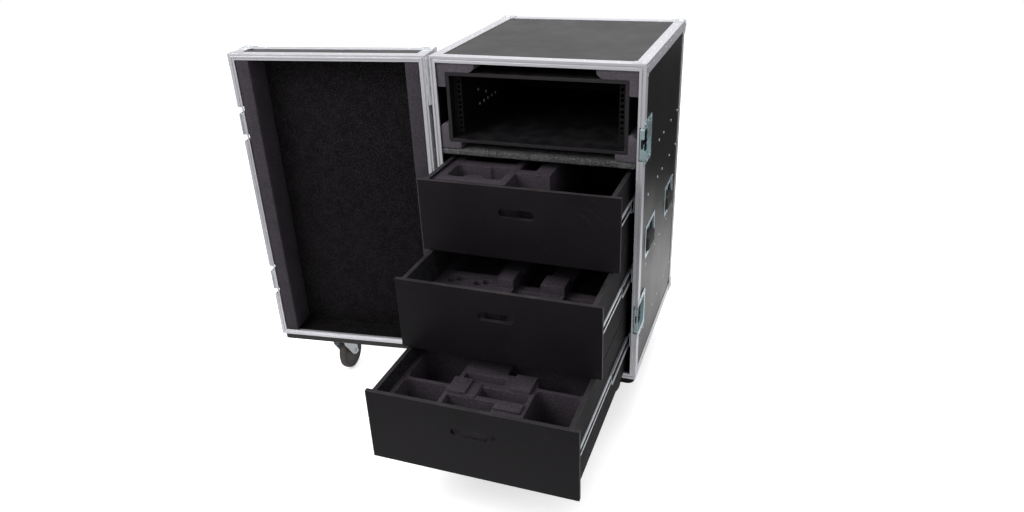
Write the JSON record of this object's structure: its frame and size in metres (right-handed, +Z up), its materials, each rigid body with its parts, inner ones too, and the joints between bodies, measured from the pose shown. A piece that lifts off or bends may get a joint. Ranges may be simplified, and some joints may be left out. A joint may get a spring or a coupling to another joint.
{
  "type": "wireless microphone flight case",
  "caption": "Upright black flight case on casters, side-hinged lid open, rack bay above drawers with foam inserts.",
  "frame": {"origin": "centre of the wheel board's underside", "axes": "+Z up, +Y from the open front to the back, +X to the right of someone facing the open case"},
  "size_m": [1.2292, 1.1789, 1.1232],
  "materials": {
    "laminate": "satin phenolic film on ply, fine streaks, worn pale at edges",
    "extrusion": "mill-finish extrusion, brushed along its length, handled",
    "zinc": "blue-passivated zinc plate, faintly mottled",
    "carpet": "dark speckled needle-punch carpet",
    "foam": "charcoal closed-cell foam, knife-cut faces",
    "tread": "dark grey-brown moulded tyre, scuffed",
    "grip": "black moulded grip"
  },
  "bodies": {
    "case": {"case_top_panel": "laminate", "case_base": "laminate", "case_left_panel": "laminate", "case_right_panel": "laminate", "case_back_panel": "laminate", "case_edge_angles": "extrusion", "case_front_frame": "extrusion", "rack_shelf": "carpet", "rack_sleeve": "laminate", "rack_foam_upper_left": "foam", "rack_foam_upper_right": "foam", "rack_foam_lower_left": "foam", "rack_foam_lower_right": "foam", "hinge_lower_case_leaf": "zinc", "hinge_upper_case_leaf": "zinc", "handle_1_dish": "zinc", "handle_2_dish": "zinc", "handle_3_dish": "zinc", "handle_4_dish": "zinc", "latch_1_dish": "zinc", "latch_2_dish": "zinc"},
    "lid": {"lid_tray": "laminate", "lid_extrusions": "extrusion", "lid_foam_left": "foam", "lid_foam_right": "foam", "hinge_lower_lid_leaf": "zinc", "hinge_upper_lid_leaf": "zinc"},
    "drawer_1": {"drawer_1_front": "laminate", "drawer_1_box": "carpet", "drawer_1_foam": "foam"},
    "slide_1": {"slide_1_middle_left": "zinc", "slide_1_middle_right": "zinc"},
    "drawer_2": {"drawer_2_front": "laminate", "drawer_2_box": "carpet", "drawer_2_foam": "foam"},
    "slide_2": {"slide_2_middle_left": "zinc", "slide_2_middle_right": "zinc"},
    "drawer_3": {"drawer_3_front": "laminate", "drawer_3_box": "carpet", "drawer_3_foam": "foam"},
    "slide_3": {"slide_3_middle_left": "zinc", "slide_3_middle_right": "zinc"},
    "caster_1": {"caster_1_fork": "zinc"},
    "roller_1": {"caster_1_wheel": "tread"},
    "caster_2": {"caster_2_fork": "zinc"},
    "roller_2": {"caster_2_wheel": "tread"},
    "caster_3": {"caster_3_fork": "zinc"},
    "roller_3": {"caster_3_wheel": "tread"},
    "caster_4": {"caster_4_fork": "zinc"},
    "roller_4": {"caster_4_wheel": "tread"},
    "caster_5": {"caster_5_fork": "zinc"},
    "roller_5": {"caster_5_wheel": "tread"},
    "latch_1": {"latch_1_handle": "zinc"},
    "hook_1": {"latch_1_hook": "zinc"},
    "latch_2": {"latch_2_handle": "zinc"},
    "hook_2": {"latch_2_hook": "zinc"},
    "bail_1": {"handle_1_bail": "grip"},
    "bail_2": {"handle_2_bail": "grip"},
    "bail_3": {"handle_3_bail": "grip"},
    "bail_4": {"handle_4_bail": "grip"}
  },
  "joints": [
    {"name": "lid_swing", "type": "hinge", "parent": "case", "child": "lid", "pos_m": [-0.3059, -0.307, 0.493], "axis": [0, 0, -1], "range_deg": [-82.7, 7.3]},
    {"name": "drawer_1_pull", "type": "slide", "parent": "case", "child": "drawer_1", "axis": [0, -1, 0], "range_m": [-0.172, 0.403]},
    {"name": "slide_1_follow", "type": "slide", "parent": "case", "child": "slide_1", "axis": [0, -1, 0], "range_m": [-0.086, 0.2015]},
    {"name": "drawer_2_pull", "type": "slide", "parent": "case", "child": "drawer_2", "axis": [0, -1, 0], "range_m": [-0.352, 0.223]},
    {"name": "slide_2_follow", "type": "slide", "parent": "case", "child": "slide_2", "axis": [0, -1, 0], "range_m": [-0.176, 0.1115]},
    {"name": "drawer_3_pull", "type": "slide", "parent": "case", "child": "drawer_3", "axis": [0, -1, 0], "range_m": [-0.564, 0.011]},
    {"name": "slide_3_follow", "type": "slide", "parent": "case", "child": "slide_3", "axis": [0, -1, 0], "range_m": [-0.282, 0.0055]},
    {"name": "caster_1_swivel", "type": "hinge", "parent": "case", "child": "caster_1", "pos_m": [-0.205, -0.185, 0], "axis": [0, 0, 1], "continuous": true},
    {"name": "caster_1_roll", "type": "hinge", "parent": "caster_1", "child": "roller_1", "pos_m": [-0.23187, -0.21187, -0.0875], "axis": [-0.7071, 0.7071, 0], "continuous": true},
    {"name": "caster_2_swivel", "type": "hinge", "parent": "case", "child": "caster_2", "pos_m": [0.205, -0.185, 0], "axis": [0, 0, 1], "continuous": true},
    {"name": "caster_2_roll", "type": "hinge", "parent": "caster_2", "child": "roller_2", "pos_m": [0.16737, -0.19029, -0.0875], "axis": [-0.1392, 0.9903, 0], "continuous": true},
    {"name": "caster_3_swivel", "type": "hinge", "parent": "case", "child": "caster_3", "pos_m": [-0.205, 0.185, 0], "axis": [0, 0, 1], "continuous": true},
    {"name": "caster_3_roll", "type": "hinge", "parent": "caster_3", "child": "roller_3", "pos_m": [-0.21484, 0.22171, -0.0875], "axis": [0.9659, 0.2588, 0], "continuous": true},
    {"name": "caster_4_swivel", "type": "hinge", "parent": "case", "child": "caster_4", "pos_m": [0.205, 0.185, 0], "axis": [0, 0, 1], "continuous": true},
    {"name": "caster_4_roll", "type": "hinge", "parent": "caster_4", "child": "roller_4", "pos_m": [0.20169, 0.22286, -0.0875], "axis": [0.9962, 0.0872, 0], "continuous": true},
    {"name": "caster_5_swivel", "type": "hinge", "parent": "lid", "child": "caster_5", "pos_m": [-0.7202, -0.30664, 0], "axis": [0, 0, 1], "continuous": true},
    {"name": "caster_5_roll", "type": "hinge", "parent": "caster_5", "child": "roller_5", "pos_m": [-0.72352, -0.26878, -0.0875], "axis": [0.9962, 0.0872, 0], "continuous": true},
    {"name": "latch_1_turn", "type": "hinge", "parent": "case", "child": "latch_1", "pos_m": [0.2961, -0.261, 0.225], "axis": [1, 0, 0], "range_deg": [0, 180]},
    {"name": "hook_1_draw", "type": "slide", "parent": "case", "child": "hook_1", "axis": [0, -1, 0], "range_m": [0, 0.00697]},
    {"name": "latch_2_turn", "type": "hinge", "parent": "case", "child": "latch_2", "pos_m": [0.2961, -0.261, 0.758], "axis": [1, 0, 0], "range_deg": [0, 180]},
    {"name": "hook_2_draw", "type": "slide", "parent": "case", "child": "hook_2", "axis": [0, -1, 0], "range_m": [0, 0.00697]},
    {"name": "handle_1_lift", "type": "hinge", "parent": "case", "child": "bail_1", "pos_m": [-0.2927, -0.121, 0.4685], "axis": [0, 1, 0], "range_deg": [0, 90], "stiffness_Nm_per_rad": 0.4},
    {"name": "handle_2_lift", "type": "hinge", "parent": "case", "child": "bail_2", "pos_m": [-0.2927, 0.157, 0.4685], "axis": [0, 1, 0], "range_deg": [0, 90], "stiffness_Nm_per_rad": 0.4},
    {"name": "handle_3_lift", "type": "hinge", "parent": "case", "child": "bail_3", "pos_m": [0.2927, -0.157, 0.4685], "axis": [0, -1, 0], "range_deg": [0, 90], "stiffness_Nm_per_rad": 0.4},
    {"name": "handle_4_lift", "type": "hinge", "parent": "case", "child": "bail_4", "pos_m": [0.2927, 0.157, 0.4685], "axis": [0, -1, 0], "range_deg": [0, 90], "stiffness_Nm_per_rad": 0.4}
  ],
  "couplings": [
    {"joint": "slide_1_follow", "follows": "drawer_1_pull", "ratio": 0.5},
    {"joint": "slide_2_follow", "follows": "drawer_2_pull", "ratio": 0.5},
    {"joint": "slide_3_follow", "follows": "drawer_3_pull", "ratio": 0.5},
    {"joint": "latch_1_turn", "follows": "hook_1_draw", "rad_per_m": 450.45},
    {"joint": "latch_2_turn", "follows": "hook_2_draw", "rad_per_m": 450.45}
  ]
}
